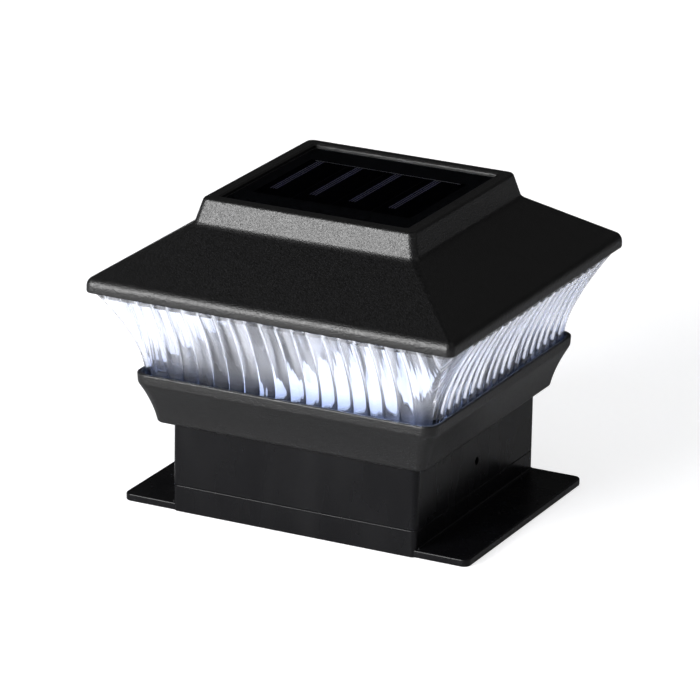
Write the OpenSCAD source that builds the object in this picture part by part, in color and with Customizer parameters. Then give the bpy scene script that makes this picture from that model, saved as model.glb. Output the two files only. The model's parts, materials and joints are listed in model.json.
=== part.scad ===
// Square solar light that caps a deck post. Millimetres, +Z up.
// The origin is the middle of the base's underside. The wide wings of the base point along X.
// From the ground up: winged base adapter, post sleeve, collar tray, fluted lens, hipped roof, solar panel.

/* [Roof] */
// Width of the roof across its rim
roof_w = 158; // [156:0.5:164]
// Height of the roof's lower edge above the ground
roof_z = 93.5; // [92:0.5:98]
// Height of the rim band round the roof, up to where the slope would meet it without its rounding
rim_h = 4.8; // [4.5:0.1:5.5]
// Corner radius of the roof rim
rim_r = 3; // [2:0.5:4]
// Wall thickness of the roof
roof_wall = 2.4; // [2:0.1:2.6]

/* [Plinth] */
// Width of the plinth where it rises from the roof
plinth_base_w = 96.8; // [95:0.2:99]
// Width of the plinth across its top
plinth_top_w = 91.4; // [90:0.2:92]
// Height of the plinth's foot above the roof's lower edge
plinth_rise = 24.6; // [24:0.1:26]
// Height of the plinth from foot to top
plinth_h = 10.1; // [9.8:0.1:11]
// Corner radius of the plinth
plinth_r = 3; // [2:0.5:4]

/* [Solar panel] */
// Width of the recess that holds the panel
recess_w = 81; // [78:0.2:82]
// Depth of the recess below the rim
recess_d = 4.6; // [4.4:0.1:5]
// Width of one solar cell
cell_w = 16.7; // [14:0.1:16.8]
// Length of one solar cell
cell_l = 50; // [44:1:56]
// Distance from one cell to the next
cell_pitch = 17.2; // [16.9:0.1:17.5]

/* [Lens] */
// Width of the lens at its lower edge
lens_low_w = 126; // [124:0.2:126.4]
// Width of the lens just under the roof
lens_top_w = 155; // [152:0.5:155.4]
// Wall thickness of the lens
lens_wall = 2; // [1.8:0.1:2.2]
// Flutes on each of the four sides
flutes = 17; // [12:1:22]
// How far a flute's crest stands proud of its root
flute_d = 0.9; // [0.4:0.1:1]
// Corner radius of the lens
lens_r = 5.6; // [5:0.2:8]

/* [Collar] */
// Width of the collar across its lip
collar_w = 130.6; // [130.4:0.2:134]
// Height of the collar's top above the ground
collar_top = 59; // [58.4:0.2:59.6]
// Height of the collar's underside above the ground
collar_low = 37.5; // [36:0.5:38.5]
// Corner radius of the collar's lip
collar_r = 6; // [5:0.5:8]

/* [Sleeve] */
// Outside width of the post sleeve
sleeve_w = 107; // [106:0.2:107.6]
// Wall thickness of the post sleeve
sleeve_wall = 2.4; // [2:0.1:2.6]
// Height of the fixing screw holes above the ground
fix_hole_z = 23; // [22:0.5:30]
// Diameter of the fixing screw holes
fix_hole_d = 3.3; // [2.5:0.1:4.5]

/* [Base adapter] */
// Overall width of the base across its wings
base_w = 151; // [140:1:154]
// Depth of the wings
base_d = 106; // [100:1:106]
// Thickness of the wings
wing_t = 3.2; // [2.6:0.1:4]
// Height of the parting line between base and sleeve
part_z = 11; // [10:0.5:12]
// Width of the square window that a post passes through
window_w = 90; // [80:1:94]

/* [Battery] */
// Diameter of the rechargeable cell
batt_d = 14.2; // [14:0.1:14.5]
// Length of the rechargeable cell without its nub
batt_l = 48.6; // [48:0.1:49]

/* [Switch] */
// Travel of the slide switch between OFF and ON
switch_travel = 3; // [2:0.1:3.2]

/* [Hidden] */
$fn = 48;
eps = 0.01;
gap = 0.3;             // space left between pieces that slide past each other
edge_fn = 32;          // facets of a rounded edge inside a hull

// heights of the roof and what hangs under it
roof_half = roof_w / 2;
rim_top = roof_z + rim_h;
plinth_z = roof_z + plinth_rise;
top_z = plinth_z + plinth_h;
slope = (plinth_z - rim_top) / (roof_half - plinth_base_w / 2);
skin_drop = roof_wall * sqrt(1 + slope * slope);   // vertical depth of the sloping skin
ledge_z = roof_z + 2.7;                            // ledge that the lens flange is pressed against
ledge_half = 68.5;
gasket_t = 0.6;
flange_t = 1.8;
plate_top = ledge_z - gasket_t - flange_t;
plate_t = 2.4;
plate_low = plate_top - plate_t;
plate_half = 72;
boss_at = 58;                                      // plate screws, from the middle along X and Y
boss_r = 3.5;
pilot_r = 1.25;                                    // holes for the larger self-tapping screws
screw_d = 2.4;
small_pilot_r = 0.8;                               // holes for the board screws
small_screw_d = 1.5;

// solar panel stack, from the recess floor up
recess_z = top_z - recess_d;
seal_t = 0.6;
pcb_t = 1.6;
cell_t = 0.3;
glass_t = 1.2;
board_z = recess_z + seal_t;
cell_z = board_z + pcb_t;
panel_w = recess_w - 0.6;
lead_hole = [14, 10];                              // where the panel leads go down through the roof

// lens
lens_low_z = collar_top - 2.9;
seat_z = lens_low_z - 0.1;                         // ledge in the collar that the lens stands on
lens_inner_low = lens_low_w / 2 - lens_wall;

// collar and sleeve
floor_z = 43;
floor_t = 2.4;
seat_half = lens_low_w / 2 + flute_d;
sleeve_in = sleeve_w - 2 * sleeve_wall;
tray_screw_at = 45.5;

// base adapter
spigot_w = sleeve_in - 2 * gap;
spigot_wall = 2;
spigot_top = part_z + 8.5;

// battery bay, under the left of the roof, with the cell along Y
bay_x = -32;
bay_half_x = 8.6;
bay_half_y = 28.5;
bay_wall = 2;
bay_top = plate_top + 17;
batt_z = plate_top + 8;
batt_y0 = bay_half_y - 0.6 - 1 - batt_l;           // flat end of the cell
door_t = 1.8;
hinge_x = -22.4;
hinge_z = plate_low - 2.2;
pin_r = 1.2;
pin_clear = 0.06;
barrel_r = 1.9;

// boards and switch
pcb_x = 13;
pcb_w = 50;
pcb_l = 44;
pcb_z = plate_top + 7.2;
led_half = 15;
led_z = plate_low - 2.4;
led_at = 8.5;
switch_x = 27;
knob_l = 4;
knob_w = 3;

// ---------- shapes used more than once ----------

// square with rounded corners, centred
module rounded_square(w, r, d = 0) {
  depth = d == 0 ? w : d;
  square([w, depth - 2 * r], center = true);
  square([w - 2 * r, depth], center = true);
  for (x = [-1, 1], y = [-1, 1])
    translate([x * (w / 2 - r), y * (depth / 2 - r)]) circle(r);
}

module slab(w, r, z0, z1, d = 0) {
  translate([0, 0, z0]) linear_extrude(z1 - z0) rounded_square(w, r, d);
}

// a profile (distance from the middle, height) that closes in on all four sides, with mitred corners
module four_sided(profile, half) {
  mirrored = concat(profile, [for (i = [len(profile) - 1:-1:0]) [-profile[i][0], profile[i][1]]]);
  intersection() {
    translate([0, half, 0]) rotate([90, 0, 0]) linear_extrude(2 * half) polygon(mirrored);
    translate([-half, 0, 0]) rotate([90, 0, 90]) linear_extrude(2 * half) polygon(mirrored);
  }
}

// ring of points round a square with rounded corners, at height z
function square_ring(half, r, z, steps = 8) =
  let (c = half - r)
  [for (a = [0:3], k = [0:steps]) let (b = 90 * (a + k / steps))
    [c * (a == 0 || a == 3 ? 1 : -1) + r * cos(b), c * (a < 2 ? 1 : -1) + r * sin(b), z]];

// a solid through rings with equal numbers of points, flat at both ends
module lofted(rings) {
  n = len(rings[0]);
  m = len(rings);
  walls = [for (j = [0:m - 2], k = [0:n - 1]) let (k2 = (k + 1) % n, p = j * n, q = p + n)
    each [[p + k, q + k, q + k2], [p + k, q + k2, p + k2]]];
  ends = [[for (k = [0:n - 1]) k], [for (k = [n - 1:-1:0]) (m - 1) * n + k]];
  polyhedron([for (ring = rings) each ring], concat(walls, ends));
}

// points on an arc from angle a0 to a1
function arc(cx, cy, r, a0, a1, n = 6) =
  [for (i = [0:n]) let (a = a0 + (a1 - a0) * i / n) [cx + r * cos(a), cy + r * sin(a)]];

function unit(v) = v / norm(v);

// the axis nearest to a direction, so that a tube's end lies flat on the face it meets
function nearest_axis(v) =
  let (big = max([for (x = v) abs(x)])) [for (x = v) abs(x) == big ? sign(x) : 0];

// a tube through a list of points, with frames that don't twist
module tube(pts, r, sides = 8) {
  n = len(pts);
  dirs = [for (i = [0:n - 1]) let (d = unit(pts[min(i + 1, n - 1)] - pts[max(i - 1, 0)]))
    i == 0 || i == n - 1 ? nearest_axis(d) : d];
  first = unit(cross(dirs[0], abs(dirs[0][0]) < 0.9 ? [1, 0, 0] : [0, 1, 0]));
  normals = [for (i = 0, m = first; i < n; i = i + 1,
      m = i < n ? unit(m - (m * dirs[i]) * dirs[i]) : m) m];
  rings = [for (i = [0:n - 1]) let (a = normals[i], b = cross(dirs[i], a))
    [for (k = [0:sides - 1]) pts[i] + r * (a * cos(360 * k / sides) + b * sin(360 * k / sides))]];
  lofted(rings);
}

// pan head screw pointing up, with a cross recess in its head; z = 0 is under the head
module screw(head_d, shank_d, length) {
  head_h = head_d * 0.36;
  difference() {
    union() {
      translate([0, 0, -head_h]) cylinder(h = head_h * 0.45 + eps, d1 = head_d * 0.78, d2 = head_d);
      translate([0, 0, -head_h * 0.55]) cylinder(h = head_h * 0.55, d = head_d);
      cylinder(h = length - shank_d, d = shank_d);
      translate([0, 0, length - shank_d]) cylinder(h = shank_d, d1 = shank_d, d2 = shank_d * 0.3);
    }
    for (a = [0, 90]) rotate(a)
      translate([0, 0, -head_h + 0.35]) cube([head_d * 0.6, head_d * 0.14, 1.4], center = true);
  }
}

// ---------- base adapter ----------

module base_adapter() {
  dimple_d = 2.2;
  color("#17181a") difference() {
    union() {
      slab(base_w, 3, 0, wing_t, base_d);
      slab(sleeve_w, 2.5, 0, part_z);
      slab(spigot_w, 1, 0, spigot_top);
      // the fine bead along the foot of each side wall
      for (s = [-1, 1]) translate([s * sleeve_w / 2, base_d / 2 - 1.5, wing_t])
        rotate([90, 0, 0]) cylinder(h = base_d - 3, r = 0.7);
    }
    slab(window_w, 2, -1, wing_t + eps);
    slab(spigot_w - 2 * spigot_wall, 1, wing_t, spigot_top + 1);
    // drill points for surface screws, one in the middle of each wing
    for (s = [-1, 1]) translate([s * (base_w + sleeve_w) / 4, 0, wing_t - 0.5])
      cylinder(h = 1, d = dimple_d);
  }
}

// ---------- post sleeve and its screws ----------

module at_tray_screws() {
  for (x = [-1, 1], y = [-1, 1]) translate([x * tray_screw_at, y * tray_screw_at, 0]) children();
}

module sleeve() {
  shelf_t = 2.4;
  shelf_window = 82;
  color("#1b1c1e") difference() {
    slab(sleeve_w, 2.5, part_z, floor_z);
    slab(sleeve_in, 1.2, part_z - 1, floor_z - shelf_t);
    slab(shelf_window, 4, part_z, floor_z + 1);
    at_tray_screws() translate([0, 0, floor_z - 5]) cylinder(h = 6, r = 1.7);
    for (a = [0, 180]) rotate(a) translate([sleeve_in / 2 - 2, 0, fix_hole_z])
      rotate([0, 90, 0]) cylinder(h = sleeve_wall + 4, d = fix_hole_d);
  }
}

module sleeve_screws() {
  color("#8f9296") at_tray_screws() translate([0, 0, floor_z - 2.4]) screw(6, screw_d, 8.4);
}

// ---------- collar ----------

// rings of the collar, from its underside up the hollow taper, over the lip and down inside to the floor
function collar_rings() =
  let (half = collar_w / 2, foot = half - 6.3, foot_corner = 3.7, foot_r = 1.8, hollow = 0.55, edge = 0.7,
       lip_low = collar_top - 4.6, taper_low = collar_low + foot_r, taper_top = lip_low - 0.5,
       seat = seat_half + gap, seat_r = lens_r + seat - lens_low_w / 2)
  concat(
    [for (p = arc(0, 0, foot_r, -90, 0, 5))
      square_ring(foot - foot_r + p[0], foot_corner - foot_r + p[0], taper_low + p[1])],
    [for (i = [1:6]) let (t = i / 6)
      square_ring(foot + (half - 0.6 - foot) * t - hollow * 4 * t * (1 - t),
        foot_corner + (collar_r - foot_corner) * t, taper_low + (taper_top - taper_low) * t)],
    [square_ring(half - 0.2, collar_r, lip_low + 0.6)],
    [for (p = arc(0, 0, edge, 0, 90, 3))
      square_ring(half - edge + p[0], collar_r - edge + p[0], collar_top - edge + p[1])],
    [square_ring(seat, seat_r, collar_top), square_ring(seat, seat_r, seat_z),
     square_ring(lens_inner_low - 0.6, lens_r - lens_wall, seat_z),
     square_ring(foot - foot_r - 0.1, 2.5, floor_z + floor_t)]
  );

module collar() {
  color("#202123") difference() {
    union() {
      lofted(collar_rings());
      at_tray_screws() translate([0, 0, floor_z]) cylinder(h = 7.6, r = boss_r);
    }
    slab(sleeve_w + 0.2, 2.6, collar_low - 1, floor_z);
    at_tray_screws() translate([0, 0, floor_z - 1]) cylinder(h = 7.4, r = pilot_r);
  }
}

// ---------- reflector ----------

module reflector() {
  foot = 54;
  z = floor_z + floor_t;
  color("#e3e5e8") union() {
    slab(foot, 6, z, z + 1.2);
    four_sided([[24, z + 1], [24, z + 1.6], [16, z + 2.6], [10, z + 4.6], [4, z + 8.6]], 25);
  }
}

// ---------- roof ----------

// outline of the roof from its lower edge up into the plinth, with a rounded rim and a cove at the plinth's foot
function roof_outline() =
  let (e = 3.2, tilt = atan(slope), foot = plinth_base_w / 2, cove = 1.5, rise = 0.8)
  concat(
    [[roof_half - 0.5, roof_z], [roof_half, roof_z + 0.5]],
    arc(roof_half - e, rim_top - e * tan((90 - tilt) / 2), e, 0, 90 - tilt, 7),
    [[foot + cove, plinth_z - cove * slope - 0.1], [foot + cove * 0.4, plinth_z - 0.1],
     [foot - 0.05, plinth_z + rise]],
    [[foot - 2, plinth_z + rise]]
  );

module plinth_block() {
  w1 = plinth_top_w - 0.3;
  hull() {
    translate([0, 0, plinth_z]) linear_extrude(eps) rounded_square(plinth_base_w, plinth_r, $fn = edge_fn);
    translate([0, 0, top_z - 1]) linear_extrude(eps) rounded_square(plinth_top_w, plinth_r, $fn = edge_fn);
    translate([0, 0, top_z - 0.3]) linear_extrude(eps) rounded_square(w1 - 0.4, plinth_r, $fn = edge_fn);
    translate([0, 0, top_z - eps]) linear_extrude(eps) rounded_square(w1 - 2, plinth_r, $fn = edge_fn);
  }
}

// hollow under the roof skin, up to the deck below the solar panel
function cavity_outline() =
  let (skin = function (x) rim_top - skin_drop + (roof_half - x) * slope,
       p = plinth_base_w / 2 - roof_wall - 0.6)
  [[roof_half - roof_wall, roof_z - 1], [roof_half - roof_wall, ledge_z],
   [ledge_half, ledge_z], [ledge_half, skin(ledge_half)],
   [p, skin(p)], [plinth_top_w / 2 - roof_wall - 1.4, recess_z - roof_wall]];

module at_plate_screws() {
  for (x = [-1, 1], y = [-1, 1]) translate([x * boss_at, y * boss_at, 0]) children();
}

module roof_cap() {
  color("#232426") difference() {
    union() {
      intersection() {
        four_sided(roof_outline(), roof_half + 1);
        slab(roof_w, rim_r, roof_z - 1, top_z + 1);
      }
      plinth_block();
    }
    difference() {
      four_sided(cavity_outline(), roof_half);
      at_plate_screws() translate([0, 0, plate_top]) cylinder(h = 30, r = boss_r);
    }
    at_plate_screws() translate([0, 0, plate_top - 1]) cylinder(h = 11, r = pilot_r);
    translate([0, 0, recess_z]) linear_extrude(recess_d + 1) rounded_square(recess_w, 1.2);
    translate([lead_hole[0], lead_hole[1], recess_z - 5]) cylinder(h = 6, r = 4);
  }
}

// ---------- solar panel ----------

module panel_seal() {
  color("#2a2b2d") difference() {
    slab(panel_w, 1, recess_z, board_z);
    slab(panel_w - 10, 1, recess_z - 1, board_z + 1);
  }
}

module panel_board() {
  color("#0d0e12") slab(panel_w, 1, board_z, cell_z);
}

module each_cell() {
  for (i = [-1.5:1:1.5]) translate([i * cell_pitch, 0, cell_z]) children();
}

module solar_cells() {
  color("#14142a") each_cell() translate([-cell_w / 2, -cell_l / 2, 0]) cube([cell_w, cell_l, cell_t]);
}

module panel_glass() {
  color("#101118") difference() {
    slab(panel_w, 1, cell_z, cell_z + glass_t);
    each_cell() translate([-cell_w / 2, -cell_l / 2, -1]) cube([cell_w, cell_l, 1 + cell_t]);
  }
}

// ---------- lens ----------

// half width of the lens wall at height z: nearly upright in the collar, then flaring out to the roof
function lens_half(z) =
  let (z1 = roof_z - 0.3, t = max(0, (z - collar_top) / (z1 - collar_top)))
  lens_low_w / 2 + (lens_top_w / 2 - lens_low_w / 2) * pow(t, 1.6);

// one ring of the lens: a square with rounded corners. The flutes run straight up between the same two
// marks on every side, and the plain corner panels between them widen as the lens flares
function lens_ring(half, r, z, proud) =
  let (c = half - r, span = lens_low_w / 2 - lens_r - 0.4,
       side = concat([[-c, -half]],
         [for (k = [0:3 * flutes]) [span * (2 * k / (3 * flutes) - 1), -half - proud * sin(60 * (k % 3))]],
         [[c, -half]],
         [for (k = [1:3]) let (b = -90 + k * 22.5) [c + r * cos(b), -c + r * sin(b)]]))
  [for (s = [0:3], p = side) let (ca = cos(90 * s), sa = sin(90 * s))
    [p[0] * ca - p[1] * sa, p[0] * sa + p[1] * ca, z]];

module lens() {
  steps = 5;
  z1 = roof_z - 0.3;
  tuck = roof_half - roof_wall - 0.4;
  flange_top = ledge_z - gasket_t;
  outer = [for (i = [0:steps]) let (z = lens_low_z + (z1 - lens_low_z) * i / steps)
    lens_ring(lens_half(z), lens_r, z, flute_d * (i == steps ? 0.2 : 1))];
  top = [lens_ring(tuck, 3.5, z1, 0), lens_ring(tuck, 3.5, flange_top, 0),
    lens_ring(ledge_half + 0.5, 3, flange_top, 0), lens_ring(ledge_half + 0.5, 3, plate_top, 0),
    lens_ring(plate_half + 0.6, 4, plate_top, 0)];
  inner = [for (i = [0:steps - 1]) let (z = z1 - 1.6 - (z1 - 1.6 - lens_low_z) * i / (steps - 1))
    lens_ring(lens_half(z) - lens_wall, lens_r - lens_wall, z, 0)];
  rings = concat(outer, top, inner);
  n = len(rings[0]);
  m = len(rings);
  color("#dfe6ee", 0.5) polyhedron(
    [for (ring = rings) each ring],
    [for (j = [0:m - 1], k = [0:n - 1]) let (k2 = (k + 1) % n, p = j * n, q = ((j + 1) % m) * n)
      each [[p + k, q + k, q + k2], [p + k, q + k2, p + k2]]]);
}

module lens_gasket() {
  outer = 2 * (roof_half - roof_wall - 0.4);
  color("#3a3b3d") difference() {
    slab(outer, 3.5, ledge_z - gasket_t, ledge_z);
    slab(2 * ledge_half + 1, 3, ledge_z - 1, ledge_z + 1);
  }
}

// ---------- plate under the roof ----------

module at_board_posts() {
  for (x = [-1, 1], y = [-1, 1])
    translate([pcb_x + x * (pcb_w / 2 - 4), y * (pcb_l / 2 - 4), 0]) children();
}

module at_led_screws() {
  for (s = [-1, 1]) translate([s * 11, 0, 0]) children();
}

module at_hinge_ears() {
  for (s = [-1, 1]) translate([hinge_x, s * 23.6, hinge_z]) children();
}

module under_plate() {
  led_boss_h = led_z + pcb_t;
  color("#e9e9e6") difference() {
    union() {
      slab(2 * plate_half, 5, plate_low, plate_top);
      translate([bay_x - bay_half_x - bay_wall, -bay_half_y - bay_wall, plate_top - eps])
        cube([2 * (bay_half_x + bay_wall), 2 * (bay_half_y + bay_wall), bay_top + bay_wall - plate_top]);
      at_board_posts() translate([0, 0, plate_top - eps]) cylinder(h = pcb_z - plate_top, r = 2.6);
      at_led_screws() {
        translate([0, 0, led_boss_h]) cylinder(h = plate_low - led_boss_h + eps, r = 2.2);
        translate([0, 0, plate_top - eps]) cylinder(h = 4, r = 2.6);
      }
      at_hinge_ears() translate([-2, -1.2, -2.2]) cube([4, 2.4, 4.4 + eps]);
    }
    // battery bay and its mouth
    translate([bay_x - bay_half_x, -bay_half_y, plate_low - 1])
      cube([2 * bay_half_x, 2 * bay_half_y, bay_top - plate_low + 1]);
    // slots that let the contact tabs out towards the board
    for (s = [-1, 1]) translate([bay_x + bay_half_x - 1, s * (bay_half_y - 1.5) - 1.5, batt_z + 3])
      cube([bay_wall + 2, 3, 3]);
    at_plate_screws() translate([0, 0, plate_low - 1]) cylinder(h = 4, r = 1.7);
    at_board_posts() translate([0, 0, pcb_z - 6]) cylinder(h = 7, r = small_pilot_r);
    at_led_screws() translate([0, 0, led_z]) cylinder(h = plate_top + 3 - led_z, r = small_pilot_r);
    at_hinge_ears() rotate([90, 0, 0]) cylinder(h = 5, r = pin_r + pin_clear, center = true);
    // slot for the switch knob, and the hole for the lamp leads
    translate([switch_x - knob_l / 2 - 0.5, -knob_w / 2 - 0.4, plate_low - 1])
      cube([knob_l + switch_travel + 1, knob_w + 0.8, plate_t + 2]);
    translate([0, led_half - 4, plate_low - 1]) cylinder(h = plate_t + 2, r = 2.6);
  }
}

module plate_screws() {
  color("#8f9296") at_plate_screws() translate([0, 0, plate_low]) screw(6, screw_d, 11);
}

// ---------- battery ----------

module battery() {
  color("#3f8f5a") translate([bay_x, batt_y0, batt_z]) rotate([-90, 0, 0]) union() {
    cylinder(h = batt_l, d = batt_d);
    translate([0, 0, batt_l - eps]) cylinder(h = 1 + eps, d = 5.4);
  }
}

// sprung end plate and button end plate, each with a solder tab through the bay's wall
module contact_plate(y) {
  translate([bay_x - 6.5, y, batt_z - 6]) cube([13, 0.5, 12]);
  translate([bay_x - 6.5, y, batt_z + 3.6]) cube([6.5 + bay_half_x + bay_wall + 2.4, 0.5, 1.8]);
}

module battery_contact() {
  color("#c9c2a8") for (y = [-bay_half_y + 0.05, bay_half_y - 0.55]) contact_plate(y);
}

spring_curls = 3;
spring_wire = 0.8;
spring_y0 = -bay_half_y + 0.55;
spring_l = batt_y0 - spring_y0;

// conical coil from the end plate to the flat end of the cell, with straight ends
function spring_points() =
  let (steps = 8 * spring_curls, pitch = spring_l - 2 * spring_wire,
       at = function (t) let (r = 5.2 - 1.7 * t)
         [bay_x + r * cos(360 * spring_curls * t), spring_y0 + spring_wire + pitch * t,
          batt_z + r * sin(360 * spring_curls * t)])
  concat([at(0) - [0, spring_wire, 0]], [for (i = [0:steps]) at(i / steps)],
    [at(1) + [0, spring_wire, 0]]);

spring_gap = let (p = spring_points(), n = len(p))
  min([for (i = [1:n - 8], j = [i + 6:n - 2]) norm(p[i] - p[j])]) - spring_wire;
echo(least_gap_in_spring = spring_gap);

module battery_spring() {
  color("#c9c2a8") tube(spring_points(), spring_wire / 2, 6);
}

module battery_door() {
  x0 = bay_x - bay_half_x + 0.5;
  x1 = bay_x + bay_half_x - 0.3;
  edge = x1 - hinge_x;
  color("#dededb") union() {
    difference() {
      translate([x0, -bay_half_y + 0.3, plate_low]) cube([x1 - x0, 2 * bay_half_y - 0.6, door_t]);
      // grip lines across the door
      for (i = [0:3]) translate([x0 + 2 + 1.4 * i, -9, plate_low - eps]) cube([0.6, 18, 0.4]);
    }
    // thumb lip under the plate at the free edge
    translate([x0 - 3, -5, plate_low - 1.4]) cube([5, 10, 1.2]);
    translate([x0 + 0.2, -5, plate_low - 1.4]) cube([1.8, 10, 1.4 + eps]);
    // hinge barrels with their pins
    for (s = [-1, 1]) translate([hinge_x, s * 18, hinge_z]) rotate([90, 0, 0]) {
      cylinder(h = 8, r = barrel_r, center = true);
      translate([0, 0, -s * 5]) cylinder(h = 4.2, r = pin_r, center = true);
      translate([0, 0, -4]) linear_extrude(8)
        polygon([[0, -barrel_r], [0, barrel_r], [edge + 0.25, barrel_r], [edge - 0.05, 2.4], [edge - 3.4, 2.4]]);
    }
  }
}

// ---------- boards ----------

module control_board() {
  color("#1f5a3a") difference() {
    translate([pcb_x - pcb_w / 2, -pcb_l / 2, pcb_z]) cube([pcb_w, pcb_l, pcb_t]);
    at_board_posts() translate([0, 0, pcb_z - 1]) cylinder(h = 4, r = 1.2);
  }
}

module board_parts() {
  z = pcb_z + pcb_t;
  color("#2a2a2e") union() {
    translate([pcb_x - 8, -6, z]) cube([5, 6.2, 1.6]);
    translate([pcb_x + 8, -12, z]) cylinder(h = 4.5, d = 7);
    translate([pcb_x + 10, 8, z]) cylinder(h = 9, d = 6.3);
    translate([pcb_x - 4, 8, z]) cube([3.2, 1.6, 0.7]);
    translate([pcb_x + 2, 3, z]) cube([3.2, 1.6, 0.7]);
  }
}

module board_screws() {
  color("#8f9296") at_board_posts() translate([0, 0, pcb_z + pcb_t]) mirror([0, 0, 1]) screw(4, small_screw_d, 6);
}

module led_board() {
  color("#eceeee") difference() {
    translate([-led_half, -led_half, led_z]) cube([2 * led_half, 2 * led_half, pcb_t]);
    at_led_screws() translate([0, 0, led_z - 1]) cylinder(h = 4, r = 1.2);
  }
}

module leds() {
  color("#fff6d8") for (x = [-1, 1], y = [-1, 1])
    translate([x * led_at - 2.5, y * led_at - 2.5, led_z - 1.4]) cube([5, 5, 1.4]);
}

module led_screws() {
  color("#8f9296") at_led_screws() translate([0, 0, led_z]) screw(4, small_screw_d, 7);
}

// ---------- switch ----------

module switch_body() {
  color("#b9bcc0") difference() {
    translate([switch_x - 7 + switch_travel / 2, -3.6, plate_top]) cube([14, 7.2, 5.6]);
    translate([switch_x - knob_l / 2 - 0.5, -knob_w / 2 - 0.3, plate_top - 1])
      cube([knob_l + switch_travel + 1, knob_w + 0.6, 4]);
  }
}

module switch_knob() {
  color("#1a1a1c") difference() {
    translate([switch_x - knob_l / 2, -knob_w / 2, plate_low - 2.8]) cube([knob_l, knob_w, plate_t + 5.3]);
    for (i = [-1:1]) translate([switch_x + 1.1 * i - 0.25, -knob_w, plate_low - 3]) cube([0.5, 2 * knob_w, 0.6]);
  }
}

// ---------- leads ----------

// smooth course through a few hand-set points
function spline(p, steps = 4) =
  let (n = len(p))
  concat([for (i = [0:n - 2], k = [0:steps - 1])
    let (t = k / steps, a = p[max(i - 1, 0)], b = p[i], c = p[i + 1], d = p[min(i + 2, n - 1)])
    0.5 * (2 * b + (c - a) * t + (2 * a - 5 * b + 4 * c - d) * t * t
      + (3 * b - a - 3 * c + d) * t * t * t)], [p[n - 1]]);

lead_r = 0.7;

module panel_leads() {
  color("#a52222") for (s = [-1, 1]) let (x = lead_hole[0] + 1.4 * s, y = lead_hole[1])
    tube(spline([[x, y, board_z], [x, y, board_z - 4], [x + 1.5, y - 1, board_z - 9],
      [x + 0.5, y - 3, board_z - 14], [x - 2, y - 5, pcb_z + pcb_t + 3.5], [x - 2, y - 5, pcb_z + pcb_t]]), lead_r);
}

module led_leads() {
  color("#d8d8d8") for (s = [-1, 1]) let (x = 1.3 * s, y = led_half - 4)
    tube(spline([[x, y, pcb_z], [x, y, pcb_z - 2.5], [x, y - 0.3, plate_top + 1], [x, y, plate_low],
      [x, y, led_z + pcb_t]], 3), lead_r);
}

module battery_leads() {
  tab = bay_x + bay_half_x + bay_wall + 2.4;
  color("#222222") for (s = [-1, 1]) let (y = s * (bay_half_y - 0.3), z = batt_z + 4.5)
    tube(spline([[tab, y, z], [tab + 2.5, y, z], [tab + 5, y - s * 3, z + 3], [tab + 7, y - s * 8, z + 4],
      [tab + 8.5, y - s * 12, z + 2], [tab + 8.5, y - s * 13, pcb_z + pcb_t]], 3), lead_r);
}

base_adapter();
sleeve();
sleeve_screws();
collar();
reflector();
roof_cap();
panel_glass();
solar_cells();
panel_board();
panel_seal();
lens();
lens_gasket();
under_plate();
plate_screws();
battery();
battery_contact();
battery_spring();
battery_door();
control_board();
board_parts();
board_screws();
led_board();
leds();
led_screws();
switch_body();
switch_knob();
panel_leads();
led_leads();
battery_leads();
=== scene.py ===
import json
import math

import bmesh
import bpy
from mathutils import Matrix, Quaternion, Vector


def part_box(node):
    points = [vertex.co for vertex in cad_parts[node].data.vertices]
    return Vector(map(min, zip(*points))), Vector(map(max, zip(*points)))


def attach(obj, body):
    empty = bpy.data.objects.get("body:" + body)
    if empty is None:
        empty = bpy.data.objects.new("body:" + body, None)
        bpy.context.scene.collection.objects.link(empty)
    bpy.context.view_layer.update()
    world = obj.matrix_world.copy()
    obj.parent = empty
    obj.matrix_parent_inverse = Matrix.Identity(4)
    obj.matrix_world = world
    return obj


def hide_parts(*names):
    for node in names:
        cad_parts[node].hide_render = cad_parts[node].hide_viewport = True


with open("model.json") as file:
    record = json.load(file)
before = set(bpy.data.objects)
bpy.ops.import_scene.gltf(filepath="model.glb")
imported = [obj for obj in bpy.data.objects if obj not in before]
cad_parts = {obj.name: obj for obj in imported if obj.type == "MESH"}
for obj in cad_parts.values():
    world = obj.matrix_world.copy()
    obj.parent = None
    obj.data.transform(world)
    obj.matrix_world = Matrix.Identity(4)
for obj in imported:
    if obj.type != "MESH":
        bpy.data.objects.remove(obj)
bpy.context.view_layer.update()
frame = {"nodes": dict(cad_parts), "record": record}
print("frame loaded,", len(frame["nodes"]), "nodes")

mm = 0.001  # pieces are modelled in millimetres and scaled to metres when they are finished
sameSpot = 1e-4  # points nearer to each other than this, in millimetres, count as one
smoothUpTo = 32  # degrees between two faces that are still shaded as one surface
flutePitchMm = 6.706  # from flute to flute, as lensValues gives it: 17 over the straight 114 mm of a wall
patternLow, patternHigh = 0.3, 0.7  # nearly all of a noise pattern lies between these


# small helpers for colours and shader nodes

def linearColour(hexCode, alpha=1.0):
    # an sRGB hex code as the linear colour that shaders take
    channels = [int(hexCode[i:i + 2], 16) / 255 for i in (1, 3, 5)]
    return tuple(c / 12.92 if c <= 0.04045 else ((c + 0.055) / 1.055) ** 2.4 for c in channels) + (alpha,)


def addNode(tree, kind, values=None, links=None, **settings):
    node = tree.nodes.new(kind)
    for name, value in settings.items():
        setattr(node, name, value)
    for socket, value in (values or {}).items():
        node.inputs[socket].default_value = value
    for socket, source in (links or {}).items():
        tree.links.new(source, node.inputs[socket])
    return node


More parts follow.
